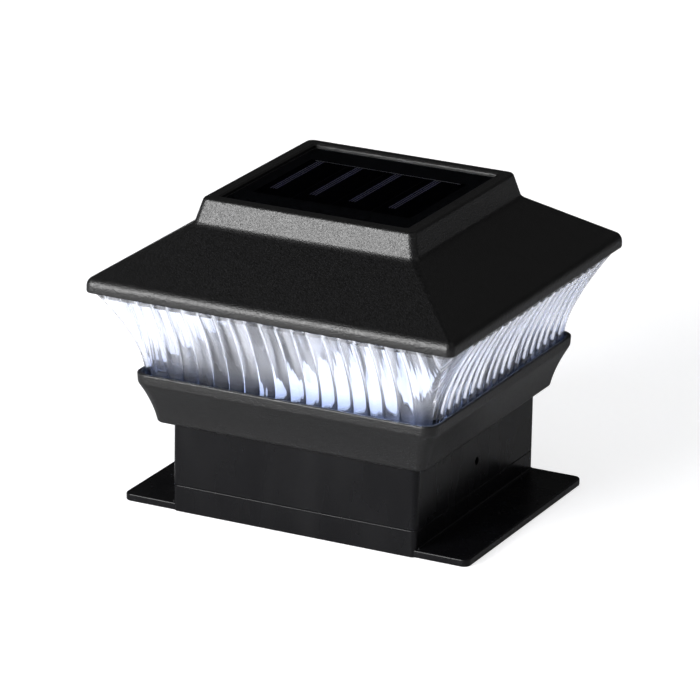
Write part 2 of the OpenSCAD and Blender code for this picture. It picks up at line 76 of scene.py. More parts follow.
def startMaterial(name, colour, roughness, values=None):
    # a Principled shader ready for its pattern; the patterns read object coordinates, in metres
    material = bpy.data.materials.new(name)
    material.use_nodes = True
    tree = material.node_tree
    tree.nodes.clear()
    shader = addNode(tree, "ShaderNodeBsdfPrincipled",
                     {"Base Color": linearColour(colour), "Roughness": roughness, **(values or {})})
    addNode(tree, "ShaderNodeOutputMaterial", links={"Surface": shader.outputs["BSDF"]})
    place = addNode(tree, "ShaderNodeTexCoord").outputs["Object"]
    return material, tree, shader, place


def lumps(tree, place, sizeMm, detail=2.0, stretch=(1, 1, 1)):
    # an uneven pattern whose lumps are about sizeMm across, longer where stretch is under 1
    mapped = addNode(tree, "ShaderNodeMapping", {"Scale": stretch}, {"Vector": place})
    return addNode(tree, "ShaderNodeTexNoise", {"Scale": 1 / (sizeMm * mm), "Detail": detail},
                   {"Vector": mapped.outputs["Vector"]}).outputs["Fac"]


def colourBy(tree, shader, pattern, darkHex, lightHex, low=patternLow, high=patternHigh):
    # dark where the pattern is low, light where it is high
    share = addNode(tree, "ShaderNodeMapRange", {"From Min": low, "From Max": high}, {"Value": pattern})
    colour = addNode(tree, "ShaderNodeMix", {"A": linearColour(darkHex), "B": linearColour(lightHex)},
                     {"Factor": share.outputs["Result"]}, data_type="RGBA")
    tree.links.new(colour.outputs["Result"], shader.inputs["Base Color"])


def dullBy(tree, shader, pattern, smooth, rough):
    # shinier where the pattern is low, duller where it is high
    share = addNode(tree, "ShaderNodeMapRange",
                    {"From Min": patternLow, "From Max": patternHigh, "To Min": smooth, "To Max": rough},
                    {"Value": pattern})
    tree.links.new(share.outputs["Result"], shader.inputs["Roughness"])


def raiseSurface(tree, shader, pattern, depthMm, strength):
    # stands out where the pattern is high
    bump = addNode(tree, "ShaderNodeBump",
                   {"Strength": strength, "Distance": depthMm * mm}, {"Height": pattern})
    tree.links.new(bump.outputs["Normal"], shader.inputs["Normal"])


# materials

def makeGrainedAbs():
    # ABS, injection moulded in a spark-eroded tool: a fine even grain that breaks up every reflection
    material, tree, shader, place = startMaterial("Black ABS, spark-eroded grain", "#080809", 0.4,
                                                  {"IOR": 1.53, "Specular IOR Level": 0.42})
    # real grain is 0.1 to 0.2 mm; it is coarser here so that it shows
    grain = lumps(tree, place, sizeMm=0.6, detail=1)
    dullBy(tree, shader, grain, smooth=0.36, rough=0.48)
    raiseSurface(tree, shader, grain, depthMm=0.18, strength=0.9)
    colourBy(tree, shader, lumps(tree, place, sizeMm=0.9, detail=1), "#020202", "#0f0f10")
    return material


def makeSatinAbs():
    # ABS from a polished tool: a low, slightly uneven gloss with faint upright flow marks
    material, tree, shader, place = startMaterial("Black ABS, satin", "#08080a", 0.27,
                                                  {"IOR": 1.53, "Specular IOR Level": 0.16})
    smear = lumps(tree, place, sizeMm=14, detail=3, stretch=(1, 1, 0.35))
    dullBy(tree, shader, smear, smooth=0.22, rough=0.34)
    raiseSurface(tree, shader, smear, depthMm=0.05, strength=0.25)
    colourBy(tree, shader, lumps(tree, place, sizeMm=0.6, detail=1), "#08080a", "#101012", low=0.55, high=0.8)
    return material


def makeClearLens():
    # PMMA, injection moulded: clear, with draw marks running up the flutes that scatter a little light
    material, tree, shader, place = startMaterial("Clear acrylic, moulded", "#f6f8ff", 0.05,
                                                  {"IOR": 1.49, "Transmission Weight": 1.0})
    at = addNode(tree, "ShaderNodeSeparateXYZ", links={"Vector": place}).outputs
    # how far along the wall a point is: its x on the front and back walls, its y on the side walls
    reachX = addNode(tree, "ShaderNodeMath", operation="ABSOLUTE", links={0: at["X"]}).outputs["Value"]
    reachY = addNode(tree, "ShaderNodeMath", operation="ABSOLUTE", links={0: at["Y"]}).outputs["Value"]
    onSide = addNode(tree, "ShaderNodeMath", operation="GREATER_THAN",
                     links={0: reachX, 1: reachY}).outputs["Value"]
    along = addNode(tree, "ShaderNodeMix", data_type="FLOAT",
                    links={"Factor": onSide, "A": at["X"], "B": at["Y"]}).outputs["Result"]
    onWall = addNode(tree, "ShaderNodeCombineXYZ", links={"X": along, "Y": onSide, "Z": at["Z"]})
    draw = lumps(tree, onWall.outputs["Vector"], sizeMm=2.2, detail=1, stretch=(1, 1, 0.04))
    raiseSurface(tree, shader, draw, depthMm=0.2, strength=0.8)
    dullBy(tree, shader, draw, smooth=0.03, rough=0.08)
    # the marks are a little milky and so are the seams between flutes; the foot of the wall stays clean
    seam = addNode(tree, "ShaderNodeMath", {1: flutePitchMm / 2 * mm}, {0: along}, operation="PINGPONG")
    seamClear = addNode(tree, "ShaderNodeMapRange",
                        {"From Min": 2.7 * mm, "From Max": 3.3 * mm, "To Min": 1.0, "To Max": 0.65},
                        {"Value": seam.outputs["Value"]})
    drawClear = addNode(tree, "ShaderNodeMapRange",
                        {"From Min": 0.35, "From Max": 0.65, "To Min": 0.97, "To Max": 0.76}, {"Value": draw})
    wallClear = addNode(tree, "ShaderNodeMath", operation="MULTIPLY", links={
        0: seamClear.outputs["Result"], 1: drawClear.outputs["Result"]}).outputs["Value"]
    aboveFoot = addNode(tree, "ShaderNodeMapRange", {"From Min": 62 * mm, "From Max": 80 * mm},
                        {"Value": at["Z"]}).outputs["Result"]
    clearness = addNode(tree, "ShaderNodeMix", {"A": 1.0}, {"Factor": aboveFoot, "B": wallClear},
                        data_type="FLOAT")
    tree.links.new(clearness.outputs["Result"], shader.inputs["Transmission Weight"])
    # painted shade: the lens is tinted a darker grey-blue towards its foot, standing in for the dim, blue-lit
    # tray seen through it
    colourBy(tree, shader, at["Z"], "#a6b2d0", "#f6f8ff", low=58 * mm, high=67 * mm)
    # lamps reach the inside straight through the wall, so that the tray isn't lit by chance paths alone
    path = addNode(tree, "ShaderNodeLightPath")
    straight = addNode(tree, "ShaderNodeBsdfTransparent", {"Color": linearColour("#dfe3e8")})
    mixed = addNode(tree, "ShaderNodeMixShader", links={
        0: path.outputs["Is Shadow Ray"], 1: shader.outputs["BSDF"], 2: straight.outputs["BSDF"]})
    out = next(n for n in tree.nodes if n.type == "OUTPUT_MATERIAL")
    tree.links.new(mixed.outputs["Shader"], out.inputs["Surface"])
    return material


def makePanelCover():
    # tinted epoxy cast over the cells: glass-like, near black over them
    material, tree, shader, place = startMaterial("Cast epoxy cover, tinted", "#53565f", 0.05, {
        "IOR": 1.5, "Transmission Weight": 1.0, "Specular IOR Level": 0.4})
    raiseSurface(tree, shader, lumps(tree, place, sizeMm=9), depthMm=0.04, strength=0.2)
    return material


def makeSiliconCell():
    # polycrystalline silicon under its blue-black antireflection coat
    material, tree, shader, place = startMaterial("Silicon cell", "#07070d", 0.5,
                                                  {"Specular IOR Level": 0.05})
    crystals = addNode(tree, "ShaderNodeTexVoronoi", {"Scale": 1 / (4 * mm)}, {"Vector": place})
    colourBy(tree, shader, crystals.outputs["Distance"], "#050509", "#0c0c16", low=0, high=1)
    return material


def makeCellBusbar():
    # screen-printed busbar seen through the coat: a dull violet band
    material, tree, shader, place = startMaterial("Printed busbar", "#45426c", 0.4, {"IOR": 1.5})
    colourBy(tree, shader, lumps(tree, place, sizeMm=0.8, stretch=(1, 0.1, 1)), "#3a375e", "#4f4c7a")
    return material


def makeTinnedWire():
    # tinned copper ribbon: pale grey, dulled by flux
    material, tree, shader, place = startMaterial("Tinned copper ribbon", "#c9c8c6", 0.38,
                                                  {"Metallic": 0.4})
    dullBy(tree, shader, lumps(tree, place, sizeMm=1.2, detail=3), smooth=0.3, rough=0.55)
    return material


def makePlainPlastic(name, colour, lightColour, roughness, sizeMm=3.0, depthMm=0.02):
    # moulded plastic or rubber with a slight mottle in colour and gloss
    material, tree, shader, place = startMaterial(name, colour, roughness, {"IOR": 1.5})
    mottle = lumps(tree, place, sizeMm, detail=3)
    colourBy(tree, shader, mottle, colour, lightColour)
    dullBy(tree, shader, mottle, smooth=roughness * 0.85, rough=min(1.0, roughness * 1.2))
    raiseSurface(tree, shader, mottle, depthMm, strength=0.4)
    return material


def makePlatedMetal(name, colour, roughness):
    # plated steel: even colour, fine rolling marks in the gloss
    material, tree, shader, place = startMaterial(name, colour, roughness, {"Metallic": 1.0})
    marks = lumps(tree, place, sizeMm=0.7, detail=3)
    dullBy(tree, shader, marks, smooth=roughness * 0.7, rough=roughness * 1.4)
    raiseSurface(tree, shader, marks, depthMm=0.01, strength=0.4)
    return material


def makeCircuitBoard(name, maskDark, maskLight):
    # glass-epoxy board under solder mask: copper tracks show as slightly lighter raised lines
    material, tree, shader, place = startMaterial(name, maskDark, 0.35, {"IOR": 1.5})
    tracks = addNode(tree, "ShaderNodeTexVoronoi", {"Scale": 1 / (3.2 * mm), "Randomness": 0.4},
                     {"Vector": place}, distance="MANHATTAN", feature="F1")
    lines = addNode(tree, "ShaderNodeMapRange", {"From Min": 0.42, "From Max": 0.5},
                    {"Value": tracks.outputs["Distance"]}).outputs["Result"]
    colourBy(tree, shader, lines, maskDark, maskLight, low=0, high=1)
    raiseSurface(tree, shader, lines, depthMm=0.04, strength=0.6)
    return material


def makeLedPackage():
    # lit white LED: cool white phosphor light, far brighter than the room
    material, tree, shader, place = startMaterial("White LED, lit", "#fff7da", 0.5, {
        "Emission Color": linearColour("#cddaff"), "Emission Strength": 240.0})
    dullBy(tree, shader, lumps(tree, place, sizeMm=0.5), smooth=0.4, rough=0.6)
    return material


def makeCellSleeve():
    # printed PVC shrink sleeve of a rechargeable cell: green body with a pale band at the button end
    material, tree, shader, place = startMaterial("Shrink sleeve", "#2f8a52", 0.3, {"IOR": 1.5})
    along = addNode(tree, "ShaderNodeSeparateXYZ", links={"Vector": place}).outputs["Y"]
    band = addNode(tree, "ShaderNodeMath", {1: 14 * mm}, {0: along}, operation="GREATER_THAN")
    colourBy(tree, shader, band.outputs["Value"], "#2f8a52", "#e6e8e2", low=0, high=1)
    raiseSurface(tree, shader, lumps(tree, place, sizeMm=5), depthMm=0.05, strength=0.3)
    return material


materials = {
    "textured_abs": makeGrainedAbs(),
    "satin_abs": makeSatinAbs(),
    "clear_lens": makeClearLens(),
    "panel_cover": makePanelCover(),
    "solar_cell": makeSiliconCell(),
    "black_board": makeCircuitBoard("Black board", "#030304", "#08080a"),
    "sealant": makePlainPlastic("Silicone sealant", "#1e1f20", "#2c2d2e", 0.5),
    "foam_gasket": makePlainPlastic("EVA foam", "#2c2d2e", "#3e3f41", 0.9, sizeMm=0.6, depthMm=0.1),
    "white_plastic": makePlainPlastic("White ABS", "#d9d9d5", "#e2e2de", 0.42),
    "door_plastic": makePlainPlastic("White ABS, door", "#d2d2cd", "#dcdcd8", 0.36),
    "reflector_white": makePlainPlastic("White polystyrene, gloss", "#e6e8ea", "#eff1f3", 0.2, sizeMm=6),
    "screw_steel": makePlatedMetal("Zinc-plated steel", "#b9babd", 0.3),
    "contact_metal": makePlatedMetal("Nickel-plated spring steel", "#c2bca8", 0.22),
    "battery_sleeve": makeCellSleeve(),
    "green_board": makeCircuitBoard("Green board", "#12452a", "#2c6b45"),
    "white_board": makeCircuitBoard("White board", "#dfe1e1", "#e9ebeb"),
    "components": makePlainPlastic("Moulded epoxy", "#19191c", "#26262a", 0.5, sizeMm=1),
    "led_package": makeLedPackage(),
    "switch_shell": makePlatedMetal("Nickel-plated shell", "#aeb0b3", 0.32),
    "knob_plastic": makePlainPlastic("Black acetal", "#121214", "#1a1a1c", 0.4),
    "red_wire": makePlainPlastic("PVC wire, red", "#8e1b1b", "#a82525", 0.42),
    "white_wire": makePlainPlastic("PVC wire, white", "#cfcfcb", "#dededb", 0.42),
    "black_wire": makePlainPlastic("PVC wire, black", "#151516", "#202022", 0.42),
    "busbar": makeCellBusbar(),
    "tinned": makeTinnedWire(),
}
for part in frame["record"]["subparts"]:
    slots = frame["nodes"][part["node"]].material_slots
    slots[0].material = materials[part["material_slot"]]
print("materials made,", len(materials))


# helpers for square mouldings

quadrants = [(1, 1), (-1, 1), (-1, -1), (1, -1)]


def boxMm(node):
    # the low and high corners of a CAD node at rest
    low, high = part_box(node)
    return low / mm, high / mm


def arcPoints(x, z, radius, start, end, steps):
    # points round (x, z), from one angle to another in degrees
    angles = [math.radians(start + (end - start) * i / steps) for i in range(steps + 1)]
    return [(x + radius * math.cos(a), z + radius * math.sin(a)) for a in angles]


def bentLine(a, corner, b, steps):
    # a quadratic curve from a to b that leans towards the corner
    points = []
    for i in range(steps + 1):
        t = i / steps
        weights = ((1 - t) ** 2, 2 * t * (1 - t), t * t)
        points.append(tuple(sum(w * x for w, x in zip(weights, along)) for along in zip(a, corner, b)))
    return points


def aroundCentre(profile, centre):
    # profile points (half width, height) to stations whose corners all turn round the same centre
    return [(x, x - centre, z) for x, z in profile]


def firstRing(bm, half, radius, z, steps):
    # a square loop of edges with rounded corners, in an empty bmesh: a grid of one cell, bevelled
    grid = bmesh.ops.create_grid(bm, x_segments=1, y_segments=1, size=half)
    bmesh.ops.translate(bm, verts=grid["verts"], vec=(0, 0, z))
    bmesh.ops.bevel(bm, geom=grid["verts"], offset=radius, segments=steps, profile=0.5,
                    affect="VERTICES", material=-1)
    bmesh.ops.delete(bm, geom=bm.faces[:], context="FACES_ONLY")
    return bm.edges[:]


def pullOut(bm, ring):
    # extrudes a ring of edges where it is, and gives the vertices of the new ring
    made = bmesh.ops.extrude_edge_only(bm, edges=ring)["geom"]
    return [g for g in made if isinstance(g, bmesh.types.BMVert)]


def edgesAmong(verts):
    inside = set(verts)
    return [e for e in {e for v in verts for e in v.link_edges} if set(e.verts) <= inside]


def nextRing(bm, ring, old, new):
    # pulls the wall on from one station (half width, corner radius, height) to the next
    oldHalf, oldRadius, oldZ = old
    half, radius, z = new
    verts = pullOut(bm, ring)
    centre = oldHalf - oldRadius
    reach = (half - radius) - centre
    growth = radius / oldRadius
    for sx, sy in quadrants:
        corner = [v for v in verts if v.co.x * sx > 0 and v.co.y * sy > 0]
        middle = Vector((sx * centre, sy * centre, 0))
        bmesh.ops.scale(bm, verts=corner, vec=(growth, growth, 1), space=Matrix.Translation(-middle))
        bmesh.ops.translate(bm, verts=corner, vec=(sx * reach, sy * reach, z - oldZ))
    return edgesAmong(verts)


def carryRound(bm, stations, steps=8, ends="caps"):
    # walls through all stations; the ends are capped, or joined to each other
    ring = start = firstRing(bm, *stations[0], steps)
    for old, new in zip(stations, stations[1:]):
        ring = nextRing(bm, ring, old, new)
    if ends == "joined":
        bmesh.ops.bridge_loops(bm, edges=start + ring)
    else:
        bmesh.ops.edgeloop_fill(bm, edges=start)
        bmesh.ops.edgeloop_fill(bm, edges=ring)


def addRod(bm, radius, length, place, sides=24):
    # a round rod along its own z axis, placed by a matrix
    return bmesh.ops.create_cone(bm, cap_ends=True, segments=sides, radius1=radius, radius2=radius,
                                 depth=length, matrix=place)["verts"]


def addPost(bm, x, y, radius, low, high, edge=0.0):
    # an upright round post with an optional rounded upper edge
    made = addRod(bm, radius, high - low, Matrix.Translation((x, y, (low + high) / 2)))
    if edge:
        edges = {e for v in made for e in v.link_edges}
        rim = [e for e in edges if all(abs(v.co.z - high) < sameSpot for v in e.verts)]
        bmesh.ops.bevel(bm, geom=rim, offset=edge, segments=3, profile=0.5, affect="EDGES", material=-1)


def addBlock(bm, low, high, edge=0.0):
    # a rectangular block between two corners, with its edges broken
    size = [h - l for l, h in zip(low, high)]
    middle = [(h + l) / 2 for l, h in zip(low, high)]
    place = Matrix.Translation(middle) @ Matrix.Diagonal((*size, 1))
    made = bmesh.ops.create_cube(bm, size=1, matrix=place)["verts"]
    if edge:
        bmesh.ops.bevel(bm, geom=list({e for v in made for e in v.link_edges}), offset=edge,
                        segments=1, profile=0.5, affect="EDGES", material=-1)


def combine(piece, *tools, how):
    # joins the tools to the piece or cuts them out of it, at once; the tools are used up
    for tool in tools:
        step = piece.modifiers.new(how.lower(), "BOOLEAN")
        step.object = tool
        step.operation = how
        step.solver = "EXACT"
        bpy.context.view_layer.update()
        result = bpy.data.meshes.new_from_object(piece.evaluated_get(bpy.context.evaluated_depsgraph_get()))
        piece.modifiers.clear()
        piece.data = result
        bpy.data.objects.remove(tool)
    piece.data.shade_smooth()
    piece.data.set_sharp_from_angle(angle=math.radians(smoothUpTo))


def makeObject(bm, name, smoothAngle=smoothUpTo):
    # turns the bmesh into an object at the origin, in metres, smooth except across sharp edges
    bmesh.ops.remove_doubles(bm, verts=bm.verts, dist=sameSpot)
    bmesh.ops.recalc_face_normals(bm, faces=bm.faces)
    bmesh.ops.scale(bm, verts=bm.verts, vec=(mm, mm, mm))
    mesh = bpy.data.meshes.new(name)
    bm.to_mesh(mesh)
    bm.free()
    mesh.shade_smooth()
    mesh.set_sharp_from_angle(angle=math.radians(smoothAngle))
    piece = bpy.data.objects.new(name, mesh)
    bpy.context.scene.collection.objects.link(piece)
    return piece


def finishPiece(piece, body, slot, *nodes, material=None, flatten=True):
    # puts the piece on its body in place of its CAD nodes; flatten keeps large faces flat up to their edges
    if flatten:
        flat = piece.modifiers.new("flat faces", "WEIGHTED_NORMAL")
        flat.keep_sharp = True
        flat.mode = "FACE_AREA"
        flat.weight = 50
    piece.data.materials.clear()
    piece.data.materials.append(materials[material or slot])
    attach(piece, body)
    if nodes:
        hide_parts(*nodes)
    print("made", piece.name)


# the roof moulding, with its rim, slope, plinth and panel recess

roofValues = {
    "rimHeight": 4.8, "rimRound": 4.2, "rimCorner": 3.0, "wall": 2.4,
    # the rounded lower edge of the rim: how far in from its side, how far up from its foot
    "underRim": ((0.7, 0), (0.2, 0.2), (0, 0.7)),
    "plinthRise": 24.6, "plinthFoot": 48.4, "plinthTop": 45.7, "plinthCorner": 3.0, "topRound": 1.1,
    "cove": 1.7, "coveRise": 0.8, "recess": 40.5, "recessDepth": 4.6, "recessCorner": 1.2, "lipBevel": 0.6,
    "hollowTop": 41.9, "hollowFoot": 45.4, "innerCorner": 2.0, "ledgeRise": 2.7, "ledge": 68.5,
    "mouthBreak": 0.3, "mouthTurn": 0.2, "bossAt": 58.0, "bossRadius": 3.5, "bossDrop": 2.4, "bossSunk": 1.2,
    "leadHole": (14.0, 10.0), "leadHoleRadius": 4.0,
}


def makeRoof():
    size = roofValues
    low, high = boxMm("roof_cap")
    half, bottom, top = high.x, low.z, high.z
    rimTop = bottom + size["rimHeight"]
    plinthLow = bottom + size["plinthRise"]
    slope = (plinthLow - rimTop) / (half - size["plinthFoot"])
    drop = size["wall"] * math.hypot(1, slope)
    recessFloor = top - size["recessDepth"]
    ledgeZ = bottom + size["ledgeRise"]
    draft = (size["plinthFoot"] - size["plinthTop"]) / (top - plinthLow)

    # the hollow, from under the recess outwards and down to the rim's foot
    corner = size["innerCorner"]
    inner = half - size["wall"]
    stations = [(size["hollowTop"], corner, recessFloor - size["wall"])]
    stations += [(x, corner, rimTop - drop + (half - x) * slope) for x in (size["hollowFoot"], size["ledge"])]
    stations += [(size["ledge"], corner, ledgeZ), (inner, corner, ledgeZ),
                 (inner, corner, bottom + size["mouthBreak"]),
                 (inner + size["mouthBreak"], corner + size["mouthTurn"], bottom)]
    # the rim, rounded into the slope
    rimRound = size["rimRound"]
    turn = 90 - math.degrees(math.atan(slope))
    roundZ = rimTop - rimRound * math.tan(math.radians(turn / 2))
    rim = [(half - inwards, bottom + up) for inwards, up in size["underRim"]]
    rim += arcPoints(half - rimRound, roundZ, rimRound, 0, turn, steps=9)
    stations += aroundCentre(rim, half - size["rimCorner"])
    # the cove at the plinth's foot, and the plinth's rounded top edge
    run = size["cove"]
    rise = run * size["coveRise"]
    foot = bentLine((size["plinthFoot"] + run, plinthLow - run * slope), (size["plinthFoot"], plinthLow),
                    (size["plinthFoot"] - rise * draft, plinthLow + rise), steps=7)
    stations += [(x, size["plinthCorner"], z) for x, z in foot]
    topRound = size["topRound"]
    edge = bentLine((size["plinthTop"] + topRound * draft, top - topRound), (size["plinthTop"], top),
                    (size["plinthTop"] - topRound, top), steps=5)
    stations += [(x, size["plinthCorner"] - max(0, size["plinthTop"] - x), z) for x, z in edge]
    # the recess for the panel
    recess = size["recess"]
    lip = [(recess + size["lipBevel"], top), (recess, top - size["lipBevel"])]
    stations += aroundCentre(lip + [(recess, recessFloor)], recess - size["recessCorner"])
    bm = bmesh.new()
    carryRound(bm, stations, steps=8)
    roof = makeObject(bm, "roofMoulding")
    # screw bosses under the skin, cut off along both slopes that meet above them
    at = size["bossAt"]
    bosses = []
    for sx, sy in quadrants:
        post = bmesh.new()
        addPost(post, sx * at, sy * at, size["bossRadius"], ledgeZ - size["bossDrop"], plinthLow)
        for across in (Vector((sx * slope, 0, 1)), Vector((0, sy * slope, 1))):
            cut = bmesh.ops.bisect_plane(post, geom=[*post.verts, *post.edges, *post.faces], clear_outer=True,
                                         plane_co=(sx * half, sy * half, rimTop - size["bossSunk"]),
                                         plane_no=across)["geom_cut"]
            bmesh.ops.edgeloop_fill(post, edges=[g for g in cut if isinstance(g, bmesh.types.BMEdge)])
        bosses.append(makeObject(post, "bossTool"))
    combine(roof, *bosses, how="UNION")
    # the hole that the panel leads go down through
    hole = bmesh.new()
    addPost(hole, *size["leadHole"], size["leadHoleRadius"], recessFloor - 2 * size["wall"],
            recessFloor + size["wall"])
    combine(roof, makeObject(hole, "leadHoleTool"), how="DIFFERENCE")
    finishPiece(roof, "head", "textured_abs", "roof_cap")


# the fluted lens

lensValues = {
    "flutes": 17, "fluteProud": 0.9, "pointsPerFlute": 16, "margin": 0.4, "corner": 5.6, "cornerSteps": 8,
    "lowHalf": 63.0, "topHalf": 77.5, "flare": 1.6, "wall": 2.0, "flareStart": 59.0, "flareEnd": 93.2,
    "fluteLow": 55.0, "fluteHigh": 94.6, "fineStep": 0.4, "coarseStep": 1.9, "firstStep": 0.1,
    "lastGap": 0.05, "tuck": 76.2, "tuckCorner": 3.5, "flangeTop": 95.6, "flangeInner": 69.0,
    "flangeCorner": 3.0, "plateSeat": 93.8, "plateHalf": 72.6, "plateCorner": 4.0, "underStep": 1.6,
    "innerRings": 14,
}


def lensHalf(z):
    size = lensValues
    t = max(0.0, (z - size["flareStart"]) / (size["flareEnd"] - size["flareStart"]))
    return size["lowHalf"] + (size["topHalf"] - size["lowHalf"]) * t ** size["flare"]


def fluteLift(across, z):
    # how far a flute stands out: a half-elliptical rib with a round end at its top and its foot
    size = lensValues
    span = size["lowHalf"] - size["corner"] - size["margin"]
    reach = span / size["flutes"]
    side = ((across + span) % (2 * reach)) - reach
    end = max(0.0, size["fluteLow"] + reach - z, z - size["fluteHigh"] + reach)
    return size["fluteProud"] * math.sqrt(max(0.0, 1 - (side ** 2 + end ** 2) / reach ** 2))


def pullLens(bm, ring, old, new, fluted):
    # pulls the lens wall on by one ring: flutes rise straight up their own marks, corners move out bodily
    size = lensValues
    span = size["lowHalf"] - size["corner"] - size["margin"] + sameSpot
    oldHalf, oldRadius = old[:2]
    half, radius, z = new
    oldCentre, centre = oldHalf - oldRadius, half - radius
    growth = radius / oldRadius
    verts = pullOut(bm, ring)
    for v in verts:
        x, y = v.co.x, v.co.y
        lift = fluteLift(x if abs(x) < span else y, z) if fluted else 0.0
        if abs(x) < span:
            v.co = (x, math.copysign(half + lift, y), z)
        elif abs(y) < span:
            v.co = (math.copysign(half + lift, x), y, z)
        else:
            v.co = (math.copysign(centre + (abs(x) - oldCentre) * growth, x),
                    math.copysign(centre + (abs(y) - oldCentre) * growth, y), z)
    return edgesAmong(verts)


def makeLens():
    size = lensValues
    foot = boxMm("lens")[0].z
    bm = bmesh.new()
    bottom = (size["lowHalf"], size["corner"], foot)
    firstRing(bm, *bottom, size["cornerSteps"])
    # the straight part of each side is divided into the flutes' points
    span = size["lowHalf"] - size["corner"] - size["margin"]
    for axis in ((1, 0, 0), (0, 1, 0)):
        for side in (-span, span):
            bmesh.ops.bisect_plane(bm, geom=bm.verts[:] + bm.edges[:], plane_no=axis,
                                   plane_co=[side * a for a in axis])
    middle = [e for e in bm.edges if e.calc_length() > span]
    bmesh.ops.subdivide_edges(bm, edges=middle, cuts=size["flutes"] * size["pointsPerFlute"] - 1)
    ring = start = bm.edges[:]
    # rings close together over the round ends of the flutes, wider apart between them
    halfPitch = span / size["flutes"]
    fineBelow = size["fluteLow"] + halfPitch
    fineAbove = size["fluteHigh"] - halfPitch - size["coarseStep"]
    heights = []
    z = foot + size["firstStep"]
    while z < size["flareEnd"] - size["lastGap"]:
        heights.append(z)
        z += size["fineStep"] if z < fineBelow or z > fineAbove else size["coarseStep"]
    outer = [(lensHalf(h), size["corner"], h) for h in heights + [size["flareEnd"]]]
    top = [(size["tuck"], size["tuckCorner"], size["flareEnd"]),
           (size["tuck"], size["tuckCorner"], size["flangeTop"]),
           (size["flangeInner"], size["flangeCorner"], size["flangeTop"]),
           (size["flangeInner"], size["flangeCorner"], size["plateSeat"]),
           (size["plateHalf"], size["plateCorner"], size["plateSeat"])]
    innerTop = size["flareEnd"] - size["underStep"]
    down = [innerTop - (innerTop - foot) * i / size["innerRings"] for i in range(size["innerRings"] + 1)]
    inner = [(lensHalf(h) - size["wall"], size["corner"] - size["wall"], h) for h in down]
    old = bottom
    for new in outer:
        ring = pullLens(bm, ring, old, new, fluted=True)
        old = new
    for new in top + inner:
        ring = pullLens(bm, ring, old, new, fluted=False)
        old = new
    bmesh.ops.bridge_loops(bm, edges=start + ring)
    lens = makeObject(bm, "flutedLens", smoothAngle=38)
    finishPiece(lens, "head", "clear_lens", "lens", flatten=False)


# the collar tray that the lens stands in

collarValues = {
    "half": 65.3, "corner": 6.0, "lip": 4.6, "edge": 0.7,
    # the lip's outer foot: how far in from the collar's side, how far up
    "underLip": ((0.15, 0.9), (0.25, 0.4), (0.4, 0)),
    # the lip's broken inner edge: outwards, added to the corner radius, downwards
    "innerLip": (0.15, 0.1, 0.2),
    "taperTop": 0.6, "taperGap": 0.5, "taperRings": 14, "hollow": 0.55,
    "foot": 59.0, "footCorner": 3.7, "footRound": 1.8,
    "seatHalf": 64.2, "seatCorner": 6.8, "seatZ": 56.0, "seatBreak": 0.2, "ledgeHalf": 60.4,
    "ledgeCorner": 3.6, "floorHalf": 57.1, "floorCorner": 2.5, "floorTop": 45.4, "floorLow": 43.0,
    "socket": 53.6, "socketCorner": 2.6, "mouthBreak": 0.3, "mouthTurn": 0.2,
    "bossAt": 45.5, "bossRadius": 3.5, "bossLow": 43.5, "bossTop": 50.6, "bossEdge": 0.5,
}


def makeCollar():
    size = collarValues
    low, high = boxMm("collar")
    top, bottom = high.z, low.z
    half, corner = size["half"], size["corner"]
    # inside: floor, ledge and the seat of the lens
    step = size["seatBreak"]
    outwards, turned, downwards = size["innerLip"]
    stations = [(size["floorHalf"], size["floorCorner"], size["floorTop"]),
                (size["ledgeHalf"], size["ledgeCorner"], size["seatZ"] - step),
                (size["ledgeHalf"] + step, size["ledgeCorner"] + step, size["seatZ"]),
                (size["seatHalf"], size["seatCorner"], size["seatZ"]),
                (size["seatHalf"], size["seatCorner"], top - downwards),
                (size["seatHalf"] + outwards, size["seatCorner"] + turned, top)]
    # the lip
    edge = size["edge"]
    lipLow = top - size["lip"]
    stations += aroundCentre(arcPoints(half - edge, top - edge, edge, 90, 0, steps=6), half - corner)
    stations += [(half - inwards, corner, lipLow + up) for inwards, up in size["underLip"]]
    # the hollow taper under it
    taperLow, taperTop = bottom + size["footRound"], lipLow - size["taperGap"]
    for i in range(size["taperRings"] + 1):
        t = 1 - i / size["taperRings"]
        bow = size["hollow"] * 4 * t * (1 - t)
        reach = size["foot"] + (half - size["taperTop"] - size["foot"]) * t - bow
        turn = size["footCorner"] + (corner - size["footCorner"]) * t
        stations.append((reach, turn, taperLow + (taperTop - taperLow) * t))
    footRound = size["footRound"]
    underEdge = arcPoints(size["foot"] - footRound, taperLow, footRound, 0, -90, steps=7)[1:]
    stations += aroundCentre(underEdge, size["foot"] - size["footCorner"])
    # the socket that holds the sleeve
    hole = size["socketCorner"]
    stations += [(size["socket"] + size["mouthBreak"], hole + size["mouthTurn"], bottom),
                 (size["socket"], hole, bottom + size["mouthBreak"]),
                 (size["socket"], hole, size["floorLow"])]
    bm = bmesh.new()
    carryRound(bm, stations, steps=9)
    collar = makeObject(bm, "collarTray")
    bosses = []
    for sx, sy in quadrants:
        post = bmesh.new()
        addPost(post, sx * size["bossAt"], sy * size["bossAt"], size["bossRadius"], size["bossLow"],
                size["bossTop"], edge=size["bossEdge"])
        bosses.append(makeObject(post, "bossTool"))
    combine(collar, *bosses, how="UNION")
    finishPiece(collar, "lamp_body", "textured_abs", "collar")


# the sleeve that slips over the post

sleeveValues = {
    "corner": 2.5, "innerCorner": 1.2, "wall": 2.4, "window": 41.0, "windowCorner": 4.0, "shelf": 2.4,
    "edge": 0.35, "mouthBreak": 0.3, "mouthTurn": 0.1, "holeZ": 23.0, "holeRadius": 1.65,
}


